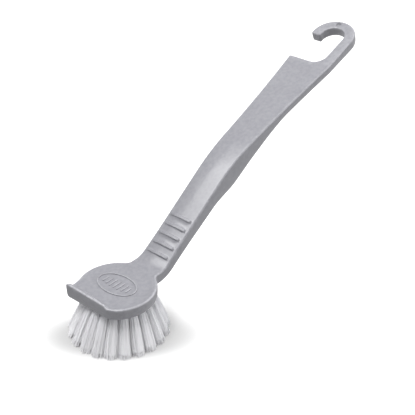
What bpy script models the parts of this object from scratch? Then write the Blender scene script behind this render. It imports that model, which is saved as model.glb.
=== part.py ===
"""Pot brush: a one-piece moulded head, handle and hook, with tufts of nylon bristle.

The head lies level and the brush stands on its trimmed bristles. The origin is the centre of the
bristle field, in the plane of the trimmed tips. +X runs from the head to the hanging hook, +Y to
the side of the scraper's pointed corner, and +Z up.

The body is made as a moulder would draw it: a flat blank with the outline of the whole brush is
drawn to its thickness, and then bent along a side view. A place on the blank is given by its
distance s along the handle's top line, from the head's centre, its distance y from the middle,
and its depth below the top face.
"""

import math

import bmesh
import bpy
from mathutils import Matrix, Vector

# Head: a round plate, in metres
HEAD_RADIUS = 0.0256
HEAD_THICKNESS = 0.0078
HEAD_TOP_HEIGHT = 0.0335
HEAD_STEPS = 30
DISH_DEPTH = 0.0006
RIM_WIDTH = 0.0018
RIM_SLOPE = 0.0040
DISH_FADE = 0.0140

# Scraper lip: a straight raised edge with one pointed corner
LIP_REACH_SHARE = 0.848
LIP_CORNER_SHARE = 0.898
LIP_RISE = 0.0028
LIP_RIDGE_WIDTH = 0.0042
LIP_END_RISE_SHARE = 0.65
LIP_END_RUN = 0.0019
LIP_END_SHARE = 0.547
FLANK_ANGLE = math.radians(110.0)
FLANK_LEAD_SHARE = 0.238
FLANK_STEPS = 6

# Side view of the handle's top line
NECK_START = 0.0278
NECK_RADIUS = 0.0156
LOWER_SLOPE = math.radians(35.3)
LOWER_RUN = 0.0634
BEND_RADIUS = 0.1300
UPPER_SLOPE = math.radians(20.2)
UPPER_RUN = 0.0855

# Handle in plan
NECK_HALF_WIDTH = 0.0118
NECK_FILLET = 0.0050
WAIST_HALF_WIDTH = 0.0109
WAIST_START = 0.0600
WAIST_END = 0.0950
END_HALF_WIDTH = 0.0170
END_CORNER_RADIUS = 0.0018
SIDE_STEPS = 16

# Handle in depth
NECK_THICKNESS = 0.0078
GRIP_THICKNESS = 0.0112
BELLY_THICKNESS = 0.0175
BELLY_START = 0.0836
BELLY_PLACE = 0.1110
PLATE_THICKNESS = 0.0064
PLATE_PLACE = 0.1750
HOOK_THICKNESS = 0.0076
BELLY_ROUNDING_SHARE = 0.14

# Crowned grip face with its ribs
CROWN_HEIGHT = 0.0013
CROWN_START = 0.0240
CROWN_FULL = 0.0340
CROWN_FADE_START = 0.1000
CROWN_FADE_END = 0.1500
CROWN_POWER = 1.2
RIB_COUNT = 5
RIB_FIRST = 0.0390
RIB_PITCH = 0.0071
RIB_WIDTH = 0.0030
RIB_CREST_SHARE = 0.36
RIB_RISE = 0.0009
RIB_HALF_LENGTH = 0.0090
RIB_RUN_OUT = 0.0014

# Hook in the plane of the handle's end
HOOK_OUTER_RADIUS = 0.0166
HOOK_INNER_RADIUS = 0.0088
HOOK_CENTRE_REACH = 0.0289
HOOK_STUB = 0.0026
HOOK_CORNER_RADIUS = 0.0014
HOOK_ROOT_FILLET = 0.0095
HOOK_OUTER_STEPS = 20
HOOK_INNER_STEPS = 15
CORNER_STEPS = 3
FILLET_STEPS = 6

# Rounded edges of the blank, all round
TOP_EDGE_RADIUS = 0.0010
WALL_BREAK_SHARE = 0.55
WALL_TURN_SHARE = 0.86
WALL_TURN_INSET = 0.0003
UNDERSIDE_INSET = 0.0007

# Spacing of the cuts that let the blank bend
BEND_CUT_PITCH = 0.0024
HANDLE_CUT_PITCH = 0.0066
HEAD_CUT_PITCH = 0.0040
CROWN_CUT_PITCH = 0.0038

# Thumb pad on the head: a plain oval ring round a few plain ribs
PAD_LENGTH_SHARE = 0.586
PAD_WIDTH_SHARE = 0.379
PAD_RING_WIDTH = 0.0010
PAD_RISE = 0.0004
PAD_SINK = 0.0006
PAD_ALONG = 0.0014
PAD_ASIDE = 0.0013
PAD_RIB_COUNT = 7
PAD_RIB_SPAN_SHARE = 0.70
PAD_RIB_WIDTH = 0.0010
PAD_RIB_LENGTH_SHARE = 0.40
PAD_STEPS = 28

# Bristle field: rings of tufts, in holes drilled into the head's underside
FIELD_SHIFT = 0.0022
RING_SHARES = (0.738, 0.492, 0.246, 0.0)
RING_COUNTS = (21, 14, 7, 1)
RING_NAMES = ("outer", "middle", "inner", "centre")
TIP_FIELD_SHARE = 1.18
HOLE_DEPTH = 0.0050
HOLE_CLEARANCE = 0.0003
HOLE_STEPS = 12
DRILL_OVERRUN = 0.0010

# One tuft: bristles folded over a flat metal anchor, their ends fanning out
TUFT_RADIUS = 0.00135
TUFT_STAND = 0.0004
TUFT_SPREAD = 0.0035
STRAND_COUNT = 11
STRAND_TIP_SHARES = (0.0, 1.0, 0.5, 1.0, 1.0, 0.5, 1.0, 1.0, 0.5, 1.0, 1.0)
STRAND_TIP_SIZE_SHARE = 0.62
ANCHOR_HEIGHT = 0.0014
ANCHOR_BITE = 0.00015
ANCHOR_SIDES = (0, 5)

# Finishes: colour, roughness, metallic
GREY_PLASTIC = ((0.43, 0.43, 0.46, 1.0), 0.42, 0.0)
WHITE_NYLON = ((0.82, 0.83, 0.85, 1.0), 0.50, 0.0)
SMOOTH_ANGLE = math.radians(32.0)

# Places on the head and along the handle that follow from the sizes above
LIP_REACH = HEAD_RADIUS * LIP_REACH_SHARE
LIP_CORNER_SIDE = HEAD_RADIUS * LIP_CORNER_SHARE
LIP_END_RADIUS = HEAD_RADIUS * LIP_END_SHARE
LIP_END_PLACE = LIP_END_RADIUS - LIP_REACH
LIP_END_SIDE = -math.sqrt((HEAD_RADIUS - LIP_END_RADIUS) ** 2 - LIP_END_PLACE ** 2)
FLANK_LEAD = HEAD_RADIUS * FLANK_LEAD_SHARE
RING_RADII = tuple(HEAD_RADIUS * share for share in RING_SHARES)
TIP_FIELD_RADIUS = HEAD_RADIUS * TIP_FIELD_SHARE
PAD_HALF_LENGTH = HEAD_RADIUS * PAD_LENGTH_SHARE
PAD_HALF_WIDTH = HEAD_RADIUS * PAD_WIDTH_SHARE
NECK_ARC = NECK_RADIUS * LOWER_SLOPE
BEND_ARC = BEND_RADIUS * (LOWER_SLOPE - UPPER_SLOPE)
NECK_END = NECK_START + NECK_ARC
BEND_START = NECK_END + LOWER_RUN
BEND_END = BEND_START + BEND_ARC
HANDLE_END = BEND_END + UPPER_RUN
HOOK_CENTRE = HANDLE_END + HOOK_CENTRE_REACH
UNDERSIDE_HEIGHT = HEAD_TOP_HEIGHT - HEAD_THICKNESS
RIGHT_ANGLE = math.pi / 2


def clear_scene():
    """Remove whatever the file was opened with."""
    for old in list(bpy.data.objects):
        bpy.data.objects.remove(old, do_unlink=True)


def finish(name, look):
    """A Principled material with the given colour, roughness and metallic value."""
    colour, roughness, metallic = look
    material = bpy.data.materials.new(name)
    material.use_nodes = True
    shader = material.node_tree.nodes["Principled BSDF"]
    shader.inputs["Base Color"].default_value = colour
    shader.inputs["Roughness"].default_value = roughness
    shader.inputs["Metallic"].default_value = metallic
    return material


def add_object(name, mesh_edit, material, parent, location=(0.0, 0.0, 0.0)):
    """Turn a finished bmesh into a named object under the brush's empty."""
    mesh = bpy.data.meshes.new(name)
    bmesh.ops.recalc_face_normals(mesh_edit, faces=mesh_edit.faces)
    mesh_edit.to_mesh(mesh)
    mesh_edit.free()
    if material is not None:
        mesh.materials.append(material)
    mesh.shade_smooth()
    mesh.set_sharp_from_angle(angle=SMOOTH_ANGLE)
    item = bpy.data.objects.new(name, mesh)
    item.location = location
    item.parent = parent
    bpy.context.scene.collection.objects.link(item)
    return item


def ease(value, low, high):
    """0 below low, 1 above high, and a smooth rise between them."""
    share = min(max((value - low) / (high - low), 0.0), 1.0)
    return share * share * (3.0 - 2.0 * share)


def arc(centre, radius, start, end, steps):
    """Points on an arc from the start angle to the end angle, both included."""
    angles = [start + (end - start) * step / steps for step in range(steps + 1)]
    return [(centre[0] + radius * math.cos(a), centre[1] + radius * math.sin(a)) for a in angles]


def half_width(s):
    """The handle's half width: a neck that narrows to the waist, then an even flare."""
    if s < WAIST_START:
        share = (WAIST_START - s) / (WAIST_START - NECK_START)
        return WAIST_HALF_WIDTH + (NECK_HALF_WIDTH - WAIST_HALF_WIDTH) * share * share
    if s < WAIST_END:
        return WAIST_HALF_WIDTH
    share = (s - WAIST_END) / (HANDLE_END - WAIST_END)
    return WAIST_HALF_WIDTH + (END_HALF_WIDTH - WAIST_HALF_WIDTH) * share * share


def thickness(s):
    """The body's depth below its top line."""
    depth = HEAD_THICKNESS
    depth += (NECK_THICKNESS - HEAD_THICKNESS) * ease(s, NECK_START, NECK_END)
    grip_share = min(max((s - NECK_END) / (BELLY_START - NECK_END), 0.0), 1.0)
    depth += (GRIP_THICKNESS - NECK_THICKNESS) * grip_share
    depth += (BELLY_THICKNESS - GRIP_THICKNESS) * ease(s, BELLY_START, BELLY_PLACE)
    depth += (PLATE_THICKNESS - BELLY_THICKNESS) * ease(s, BELLY_PLACE, PLATE_PLACE)
    depth += (HOOK_THICKNESS - PLATE_THICKNESS) * ease(s, HANDLE_END, HOOK_CENTRE)
    return depth


def spine(s):
    """The top line's x, z and slope at the distance s from the head's centre."""
    x, z, slope = min(s, NECK_START), 0.0, 0.0
    runs = ((NECK_ARC, NECK_RADIUS), (LOWER_RUN, None), (BEND_ARC, -BEND_RADIUS), (math.inf, None))
    left = s - NECK_START
    for length, radius in runs:
        if left <= 0.0:
            break
        step = min(left, length)
        if radius is None:
            x += step * math.cos(slope)
            z += step * math.sin(slope)
        else:
            turned = slope + step / radius
            x += radius * (math.sin(turned) - math.sin(slope))
            z += radius * (math.cos(slope) - math.cos(turned))
            slope = turned
        left -= step
    return x, z, slope


def lip_outline():
    """The flank's curve, the pointed corner, the lip and its rounded end."""
    start = Vector((HEAD_RADIUS * math.cos(FLANK_ANGLE), HEAD_RADIUS * math.sin(FLANK_ANGLE)))
    lead = start + FLANK_LEAD * Vector((-math.sin(FLANK_ANGLE), math.cos(FLANK_ANGLE)))
    corner = Vector((-LIP_REACH, LIP_CORNER_SIDE))
    points = []
    for step in range(1, FLANK_STEPS + 1):
        t = step / FLANK_STEPS
        points.append(tuple(start.lerp(lead, t).lerp(lead.lerp(corner, t), t)))
    points.append((-LIP_REACH, 0.0))
    meet = math.atan2(LIP_END_SIDE, LIP_END_PLACE) + 2.0 * math.pi
    centre = (LIP_END_PLACE, LIP_END_SIDE)
    return points, arc(centre, LIP_END_RADIUS, math.pi, meet, FILLET_STEPS), meet


def hook_outline():
    """The near arm's outside, round the hook to its free end, and back along the inside."""
    centre = (HOOK_CENTRE, 0.0)
    end = HOOK_CENTRE - HOOK_STUB + HOOK_CORNER_RADIUS
    outer_corner = (end, HOOK_OUTER_RADIUS - HOOK_CORNER_RADIUS)
    inner_corner = (end, HOOK_INNER_RADIUS + HOOK_CORNER_RADIUS)
    root = (HANDLE_END + HOOK_ROOT_FILLET, HOOK_ROOT_FILLET - HOOK_INNER_RADIUS)
    points = arc(centre, HOOK_OUTER_RADIUS, -RIGHT_ANGLE, RIGHT_ANGLE, HOOK_OUTER_STEPS)
    points += arc(outer_corner, HOOK_CORNER_RADIUS, RIGHT_ANGLE, math.pi, CORNER_STEPS)
    points += arc(inner_corner, HOOK_CORNER_RADIUS, math.pi, 3.0 * RIGHT_ANGLE, CORNER_STEPS)
    points += arc(centre, HOOK_INNER_RADIUS, RIGHT_ANGLE, -RIGHT_ANGLE, HOOK_INNER_STEPS)
    points += arc(root, HOOK_ROOT_FILLET, 3.0 * RIGHT_ANGLE, math.pi, FILLET_STEPS)
    return points


def body_outline():
    """The whole brush's outline on the flat blank, anticlockwise seen from above."""
    flank, lip_end, lip_meet = lip_outline()
    fillet_y = NECK_HALF_WIDTH + NECK_FILLET
    fillet_x = math.sqrt((HEAD_RADIUS + NECK_FILLET) ** 2 - fillet_y ** 2)
    meet = math.atan2(fillet_y, fillet_x)
    full_turn = 2.0 * math.pi

    near_head = arc((0.0, 0.0), HEAD_RADIUS, lip_meet, full_turn - meet, HEAD_STEPS // 2)
    near_neck = arc((fillet_x, -fillet_y), NECK_FILLET, math.pi - meet, RIGHT_ANGLE, CORNER_STEPS)
    far_neck = arc((fillet_x, fillet_y), NECK_FILLET, -RIGHT_ANGLE, meet - math.pi, CORNER_STEPS)
    far_head = arc((0.0, 0.0), HEAD_RADIUS, meet, FLANK_ANGLE, HEAD_STEPS // 3)

    side = [fillet_x + (HANDLE_END - fillet_x) * step / SIDE_STEPS for step in range(1, SIDE_STEPS)]
    near_side = [(s, -half_width(s)) for s in side] + [(HANDLE_END, -END_HALF_WIDTH)]
    corner = (HANDLE_END - END_CORNER_RADIUS, END_HALF_WIDTH - END_CORNER_RADIUS)
    end_corner = arc(corner, END_CORNER_RADIUS, 0.0, RIGHT_ANGLE, CORNER_STEPS)
    far_side = [(s, half_width(s)) for s in reversed(side)]

    return (lip_end[:-1] + near_head + near_neck[1:] + near_side + hook_outline()
            + end_corner + far_side + far_neck + far_head[1:] + flank)


def make_blank():
    """The flat blank: the outline drawn down to the head's thickness, with rounded edges."""
    blank = bmesh.new()
    places = []
    for x, y in body_outline():
        if not places or math.hypot(x - places[-1][0], y - places[-1][1]) > HOLE_CLEARANCE:
            places.append((x, y))
    rim = [blank.verts.new((x, y, -TOP_EDGE_RADIUS)) for x, y in places]
    top = blank.faces.new(rim)
    pulled = bmesh.ops.extrude_face_region(blank, geom=[top], use_keep_orig=True)
    low_verts = [item for item in pulled["geom"] if isinstance(item, bmesh.types.BMVert)]
    under = next(item for item in pulled["geom"] if isinstance(item, bmesh.types.BMFace))

    wall = HEAD_THICKNESS - TOP_EDGE_RADIUS
    bmesh.ops.translate(blank, verts=low_verts, vec=(0.0, 0.0, -wall * WALL_BREAK_SHARE))
    bmesh.ops.recalc_face_normals(blank, faces=blank.faces)
    turn = wall * (WALL_TURN_SHARE - WALL_BREAK_SHARE)
    rest = wall * (1.0 - WALL_TURN_SHARE)
    bmesh.ops.inset_region(blank, faces=[under], thickness=WALL_TURN_INSET, depth=turn,
                           use_even_offset=True, use_boundary=True)
    bmesh.ops.inset_region(blank, faces=[under], thickness=UNDERSIDE_INSET, depth=rest,
                           use_even_offset=True, use_boundary=True)

    half_turn = TOP_EDGE_RADIUS * (1.0 - math.sqrt(0.5))
    steep = TOP_EDGE_RADIUS - half_turn
    for inset, rise in ((half_turn, steep), (steep, half_turn)):
        bmesh.ops.inset_region(blank, faces=[top], thickness=inset, depth=rise,
                               use_even_offset=True, use_boundary=True)
    return blank


def cut_across(blank, axis, place, top_only=False, low=-math.inf, high=math.inf):
    """Cut the blank on a plane square to an axis, so that it can bend or rise there."""
    faces = []
    for face in blank.faces:
        if top_only and min(vert.co.z for vert in face.verts) < -TOP_EDGE_RADIUS * 0.01:
            continue
        if any(low <= vert.co.x <= high for vert in face.verts):
            faces.append(face)
    edges = {edge for face in faces for edge in face.edges}
    verts = {vert for face in faces for vert in face.verts}
    middle = Vector((0.0, 0.0, 0.0))
    middle[axis] = place
    normal = Vector((0.0, 0.0, 0.0))
    normal[axis] = 1.0
    bmesh.ops.bisect_plane(blank, geom=faces + list(edges) + list(verts), dist=HOLE_CLEARANCE,
                           plane_co=middle, plane_no=normal)


def spread(start, end, pitch):
    """Even places from start to end, about a pitch apart."""
    steps = max(1, round((end - start) / pitch))
    return [start + (end - start) * step / steps for step in range(steps + 1)]


def rib_places():
    """The distance along the handle of each grip rib."""
    return [RIB_FIRST + index * RIB_PITCH for index in range(RIB_COUNT)]


def cut_blank(blank):
    """Cuts for the bends and the belly all through, and for the relief in the top face only."""
    bends = spread(NECK_START, NECK_END, BEND_CUT_PITCH)
    handle = spread(NECK_END + HANDLE_CUT_PITCH, PLATE_PLACE, HANDLE_CUT_PITCH)
    for place in bends + handle:
        cut_across(blank, 0, place)
    half_rib = RIB_WIDTH / 2.0
    half_crest = half_rib * RIB_CREST_SHARE
    for place in rib_places():
        for shift in (-half_rib, -half_crest, half_crest, half_rib):
            cut_across(blank, 0, place + shift, top_only=True, low=NECK_START)
    for place in spread(LIP_RIDGE_WIDTH - LIP_REACH, CROWN_START, HEAD_CUT_PITCH):
        cut_across(blank, 0, place, top_only=True, high=CROWN_START)
    reach = HEAD_RADIUS - RIM_WIDTH
    for place in spread(-reach, reach, HEAD_CUT_PITCH):
        cut_across(blank, 1, place, top_only=True, high=CROWN_START)
    for place in (LIP_END_SIDE - LIP_END_RUN, LIP_END_SIDE):
        cut_across(blank, 1, place, top_only=True, high=-LIP_REACH + TOP_EDGE_RADIUS)
    crown = 2.0 * CROWN_CUT_PITCH
    for place in spread(-crown, crown, CROWN_CUT_PITCH):
        cut_across(blank, 1, place, top_only=True, low=CROWN_START, high=CROWN_FADE_END)
    for place in (-RIB_HALF_LENGTH, RIB_RUN_OUT - RIB_HALF_LENGTH,
                  RIB_HALF_LENGTH - RIB_RUN_OUT, RIB_HALF_LENGTH):
        cut_across(blank, 1, place, top_only=True, low=RIB_FIRST - RIB_WIDTH,
                   high=rib_places()[-1] + RIB_WIDTH)


def head_relief(s, y):
    """Dish and lip of the head's top face, from the plane of its rim."""
    inside = HEAD_RADIUS - math.hypot(s, y)
    dish = ease(inside, RIM_WIDTH, RIM_WIDTH + RIM_SLOPE)
    dish *= ease(s + LIP_REACH, 0.0, LIP_RIDGE_WIDTH)
    dish *= 1.0 - ease(s, CROWN_START - DISH_FADE, CROWN_START)
    ridge = 1.0 - ease(s + LIP_REACH, TOP_EDGE_RADIUS, LIP_RIDGE_WIDTH)
    ridge *= LIP_END_RISE_SHARE + (1.0 - LIP_END_RISE_SHARE) * ease(y, LIP_END_SIDE, 0.0)
    ridge *= ease(y, LIP_END_SIDE - LIP_END_RUN, LIP_END_SIDE)
    return LIP_RISE * ridge - DISH_DEPTH * dish


def grip_relief(s, y):
    """Crown and ribs of the handle's top face."""
    across = min(abs(y) / half_width(s), 1.0)
    crown = CROWN_HEIGHT * (1.0 - across ** CROWN_POWER)
    crown *= ease(s, CROWN_START, CROWN_FULL) * (1.0 - ease(s, CROWN_FADE_START, CROWN_FADE_END))
    near = min(abs(s - place) for place in rib_places())
    rib = 1.0 - ease(near, RIB_WIDTH / 2.0 * RIB_CREST_SHARE, RIB_WIDTH / 2.0)
    rib *= 1.0 - ease(abs(y), RIB_HALF_LENGTH - RIB_RUN_OUT, RIB_HALF_LENGTH)
    return crown + RIB_RISE * rib


def bend_blank(blank):
    """Draw the belly down, raise the relief and lay every point along the side view."""
    wall = HEAD_THICKNESS - TOP_EDGE_RADIUS
    for vert in blank.verts:
        s, y, depth = vert.co.x, vert.co.y, -vert.co.z
        share = max(depth - TOP_EDGE_RADIUS, 0.0) / wall
        depth = min(depth, TOP_EDGE_RADIUS) + share * (thickness(s) - TOP_EDGE_RADIUS)
        relief = head_relief(s, y) if s < CROWN_START else grip_relief(s, y)
        belly = max(thickness(s) - HEAD_THICKNESS, 0.0) / (BELLY_THICKNESS - HEAD_THICKNESS)
        y *= 1.0 - BELLY_ROUNDING_SHARE * belly * share ** 3
        x, z, slope = spine(s)
        lift = relief * (1.0 - share) - depth
        vert.co = (x - lift * math.sin(slope), y, HEAD_TOP_HEIGHT + z + lift * math.cos(slope))


def add_prism(mesh_edit, outline, low, high):
    """A straight prism with the given outline between two heights."""
    base = mesh_edit.faces.new([mesh_edit.verts.new((x, y, low)) for x, y in outline])
    pulled = bmesh.ops.extrude_face_region(mesh_edit, geom=[base], use_keep_orig=True)
    raised = [item for item in pulled["geom"] if isinstance(item, bmesh.types.BMVert)]
    bmesh.ops.translate(mesh_edit, verts=raised, vec=(0.0, 0.0, high - low))


def oval(half_length, half_width_across, steps):
    """An oval round the pad's centre, its long axis across the brush."""
    angles = [2.0 * math.pi * step / steps for step in range(steps)]
    return [(PAD_ALONG + half_width_across * math.cos(a), PAD_ASIDE + half_length * math.sin(a))
            for a in angles]


def make_pad(parent):
    """The thumb pad's oval ring and ribs, as one shape to join to the body."""
    low = HEAD_TOP_HEIGHT - DISH_DEPTH - PAD_SINK
    high = HEAD_TOP_HEIGHT - DISH_DEPTH + PAD_RISE
    pad = bmesh.new()
    outer = oval(PAD_HALF_LENGTH, PAD_HALF_WIDTH, PAD_STEPS)
    inner = oval(PAD_HALF_LENGTH - PAD_RING_WIDTH, PAD_HALF_WIDTH - PAD_RING_WIDTH, PAD_STEPS)
    loops = []
    for outline, height in ((outer, low), (outer, high), (inner, high), (inner, low)):
        loops.append([pad.verts.new((x, y, height)) for x, y in outline])
    for loop, following in zip(loops, loops[1:] + loops[:1]):
        for index in range(PAD_STEPS):
            after = (index + 1) % PAD_STEPS
            pad.faces.new((loop[index], loop[after], following[after], following[index]))
    half = PAD_RIB_WIDTH / 2.0
    for index in range(PAD_RIB_COUNT):
        fall = PAD_RIB_SPAN_SHARE * (2.0 * index / (PAD_RIB_COUNT - 1) - 1.0)
        middle = PAD_ASIDE + fall * (PAD_HALF_LENGTH - PAD_RING_WIDTH)
        reach = PAD_RIB_LENGTH_SHARE * PAD_HALF_WIDTH * math.sqrt(1.0 - fall * fall)
        near, far = PAD_ALONG - reach, PAD_ALONG + reach
        corners = ((near, middle - half), (far, middle - half),
                   (far, middle + half), (near, middle + half))
        add_prism(pad, corners, low, high)
    shape = add_object("thumb_pad_shape", pad, None, parent)
    shape.hide_render = True
    shape.display_type = "WIRE"
    return shape


def tuft_places():
    """Each tuft's name, the middle of its hole's mouth and the middle of its trimmed end."""
    places = []
    for name, radius, count in zip(RING_NAMES, RING_RADII, RING_COUNTS):
        for index in range(count):
            angle = 2.0 * math.pi * (index + 0.5) / count
            turn = Vector((math.cos(angle), math.sin(angle), 0.0))
            mouth = Vector((FIELD_SHIFT, 0.0, UNDERSIDE_HEIGHT)) + radius * turn
            tip = radius / RING_RADII[0] * TIP_FIELD_RADIUS * turn
            label = "tuft_" + name if count == 1 else "tuft_%s_%02d" % (name, index + 1)
            places.append((label, mouth, tip))
    return places


def make_drill(parent):
    """All the tuft holes as one cutter."""
    drill = bmesh.new()
    for _, mouth, tip in tuft_places():
        down = (tip - mouth).normalized()
        length = HOLE_DEPTH + DRILL_OVERRUN
        middle = mouth + down * (DRILL_OVERRUN - length / 2.0)
        turn = Vector((0.0, 0.0, 1.0)).rotation_difference(down).to_matrix().to_4x4()
        radius = TUFT_RADIUS + HOLE_CLEARANCE
        bmesh.ops.create_cone(drill, cap_ends=True, segments=HOLE_STEPS, radius1=radius,
                              radius2=radius, depth=length, matrix=Matrix.Translation(middle) @ turn)
    shape = add_object("tuft_hole_shapes", drill, None, parent)
    shape.hide_render = True
    shape.display_type = "WIRE"
    return shape


def make_body(material, parent):
    """Head, handle and hook in one moulding, with the thumb pad on it and the holes in it."""
    blank = make_blank()
    cut_blank(blank)
    bend_blank(blank)
    body = add_object("body", blank, material, parent)
    for name, operation, shape in (("thumb_pad", "UNION", make_pad(parent)),
                                   ("tuft_holes", "DIFFERENCE", make_drill(parent))):
        step = body.modifiers.new(name, "BOOLEAN")
        step.operation = operation
        step.solver = "EXACT"
        step.object = shape
    return body


def make_tuft(name, mouth, tip, material, parent):
    """One tuft: a round root with its anchor, and strands that fan out to the trimmed plane."""
    down = (tip - mouth).normalized()
    across = Vector((down.x, down.y, 0.0))
    across = across.normalized() if across.length > HOLE_CLEARANCE else Vector((1.0, 0.0, 0.0))
    aside = Vector((0.0, 0.0, 1.0)).cross(across)
    tilted = aside.cross(down)
    if tilted.dot(across) < 0.0:
        tilted = -tilted
    root_end = down * TUFT_STAND

    tuft = bmesh.new()
    bmesh.ops.create_circle(tuft, cap_ends=True, cap_tris=True, segments=STRAND_COUNT,
                            radius=TUFT_RADIUS)
    slices = list(tuft.faces)
    rim = [edge for edge in tuft.edges if edge.is_boundary]
    root_length = TUFT_STAND + HOLE_DEPTH - HOLE_CLEARANCE
    rings = []
    for rise in (root_length - ANCHOR_HEIGHT, ANCHOR_HEIGHT):
        pulled = bmesh.ops.extrude_edge_only(tuft, edges=rim)["geom"]
        raised = [item for item in pulled if isinstance(item, bmesh.types.BMVert)]
        rings.append([item for item in pulled if isinstance(item, bmesh.types.BMFace)])
        bmesh.ops.translate(tuft, verts=raised, vec=(0.0, 0.0, rise))
        rim = [item for item in pulled if isinstance(item, bmesh.types.BMEdge)
               and all(vert in raised for vert in item.verts)]
    bmesh.ops.holes_fill(tuft, edges=rim, sides=STRAND_COUNT)

    anchor_faces = sorted(rings[1], key=lambda face: math.atan2(*face.calc_center_median().yx))
    for side in ANCHOR_SIDES:
        face = anchor_faces[side]
        outward = face.calc_center_median()
        outward.z = 0.0
        lug = bmesh.ops.extrude_discrete_faces(tuft, faces=[face])["faces"][0]
        bmesh.ops.translate(tuft, verts=lug.verts, vec=outward.normalized() * ANCHOR_BITE)

    slices.sort(key=lambda face: math.atan2(*face.calc_center_median().yx))
    strands = bmesh.ops.extrude_discrete_faces(tuft, faces=slices)["faces"]
    moved = {}
    for face, tip_share in zip(strands, STRAND_TIP_SHARES):
        middle = face.calc_center_median()
        aim = middle.normalized() * TUFT_SPREAD * tip_share
        for vert in face.verts:
            flat = aim + (vert.co - middle) * STRAND_TIP_SIZE_SHARE
            moved[vert] = tip - mouth + across * flat.x + aside * flat.y
    for vert in tuft.verts:
        if vert in moved:
            vert.co = moved[vert]
        else:
            vert.co = root_end + tilted * vert.co.x + aside * vert.co.y - down * vert.co.z
    return add_object(name, tuft, material, parent, location=mouth)


def make_brush():
    """Build every piece under one empty at the origin."""
    clear_scene()
    brush = bpy.data.objects.new("pot_brush", None)
    bpy.context.scene.collection.objects.link(brush)
    make_body(finish("grey_plastic", GREY_PLASTIC), brush)
    nylon = finish("white_nylon", WHITE_NYLON)
    for name, mouth, tip in tuft_places():
        make_tuft(name, mouth, tip, nylon, brush)


make_brush()
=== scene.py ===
"""Dress the pot brush: a fine moulded body, a thumb pad, real bristle tufts and a studio.

The brush stands on its bristle tips. +X runs from the head to the hanging hook, +Y to the side of
the scraper's pointed corner, and +Z up. A place on the moulding is given by its distance s along
the handle's top line from the middle of the head, its distance y from the middle line, and its
depth below the top face.
"""

import math
import random

import bmesh
import bpy
from bpy.props import FloatProperty, FloatVectorProperty, IntProperty, PointerProperty
from mathutils import Matrix, Vector


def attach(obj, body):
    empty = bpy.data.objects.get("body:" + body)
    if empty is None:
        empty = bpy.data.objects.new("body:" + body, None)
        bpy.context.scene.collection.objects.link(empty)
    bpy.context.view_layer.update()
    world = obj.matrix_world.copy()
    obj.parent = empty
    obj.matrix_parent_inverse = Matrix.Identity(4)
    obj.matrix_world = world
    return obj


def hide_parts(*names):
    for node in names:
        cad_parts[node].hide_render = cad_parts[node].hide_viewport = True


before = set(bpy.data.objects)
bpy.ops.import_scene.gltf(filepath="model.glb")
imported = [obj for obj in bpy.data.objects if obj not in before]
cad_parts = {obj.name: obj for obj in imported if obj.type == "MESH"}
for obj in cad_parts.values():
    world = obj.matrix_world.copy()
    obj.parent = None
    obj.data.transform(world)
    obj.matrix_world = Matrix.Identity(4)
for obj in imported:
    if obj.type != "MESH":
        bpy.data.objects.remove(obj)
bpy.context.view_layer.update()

bl_info = {
    "name": "Pot brush",
    "version": (1, 0, 0),
    "blender": (4, 5, 0),
    "location": "3D View > Sidebar > Pot brush",
    "description": "Models the moulded body, thumb pad and bristle tufts of a pot brush",
    "category": "Object",
}

BODY = "root"
UP = Vector((0.0, 0.0, 1.0))

# Number of each axis of the flat blank
ALONG, ACROSS = 0, 1

# Outline of the moulding: distances from point to point, and steps of its curves
OUTLINE_PITCH = 0.0025
LIP_PITCH = 0.0012
FLANK_STEPS = 14
ARC_STEPS = {"lip": 18, "rim": 60, "neck": 10, "crest": 56, "corner": 6, "eye": 44, "root": 14,
             "shoulder": 30}
MERGE_DISTANCE = 0.00002

# Side wall, from the top edge down: share of its height, and millimetres that it draws in
WALL_ROWS = ((0.10, 0.02), (0.25, 0.04), (0.40, 0.07), (0.55, 0.12), (0.68, 0.19), (0.79, 0.29),
             (0.87, 0.43), (0.93, 0.62), (0.975, 0.87), (1.0, 1.20))
MILLIMETRE = 0.001
EDGE_STEPS = 5

# Cuts of the blank: pitch in each region, and margins where a region ends
PITCH = {"neck": 0.0010, "grip": 0.0028, "plate": 0.0060, "hook": 0.0040, "rib": 0.0002,
         "ridge": 0.0005, "head": 0.0008, "crown": 0.0009, "gate": 0.0003}
MARGIN = 0.001
GATE_MARGIN = 0.004
CUT_SNAP = 0.00005

# Material number that marks the blank's top face while it is cut
TOP_PATCH = 1

# Edges painted lighter, partly as worn plastic and partly as a painted highlight, strongest as a
# painted highlight line on the lip's crest: strength, and where it is as shares of the edge's
# radius
WEAR_HIGHLIGHT_DEPTH_SHARE = 0.3
WEAR_HIGHLIGHT_REACH_SHARE = 0.8
HANDLE_WEAR_HIGHLIGHT = 0.45
LIP_HIGHLIGHT = 1.8
LIP_HIGHLIGHT_REACH_SHARE = 1.1
LIP_HIGHLIGHT_DEPTH_SHARE = 0.4

# Gate mark, drill and thumb pad
GATE_FLOOR_SHARE = 0.3
DRILL_SIDES = 20
DRILL_OVERRUN = 0.001
PAD_STEPS = 96
PAD_RIB_STEPS = 24
PAD_ROUNDING = 0.00016
PAD_ROUNDING_STEPS = 3
PAD_HOLLOW_SHARE = 0.9

# Rings of tufts: name, number of tufts, and radius as a share of the head's radius
RINGS = (("outer", 21, 0.738), ("middle", 14, 0.492), ("inner", 7, 0.246), ("centre", 1, 0.0))

# One tuft: sides of its root, core and bristles, and how the bristles are packed and stray
ROOT_SIDES = 14
CORE_SIDES = 16
BRISTLE_SIDES = 3
SWEEP_STEPS = 6
ROOT_CLEARANCE = 0.0006
START_DEPTH = 0.0006
UPRIGHT = 0.0001
CORE_END_SHARE = 0.90
CORE_TONE = 0.4
GOLDEN_ANGLE = 2.399963
PACKING_POWER = 0.4
TURN_STRAY = 0.2
REACH_SHARES = (0.88, 1.08)
ROOT_FILL_SHARE = 0.92
TIP_STRAY = 0.00012
TIP_CLEARANCE = 0.0002
FIRST_SEED = 1000

# Angle over which an edge stays sharp
BODY_SHARP = math.radians(35.0)
TUFT_SHARP = math.radians(70.0)
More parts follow.
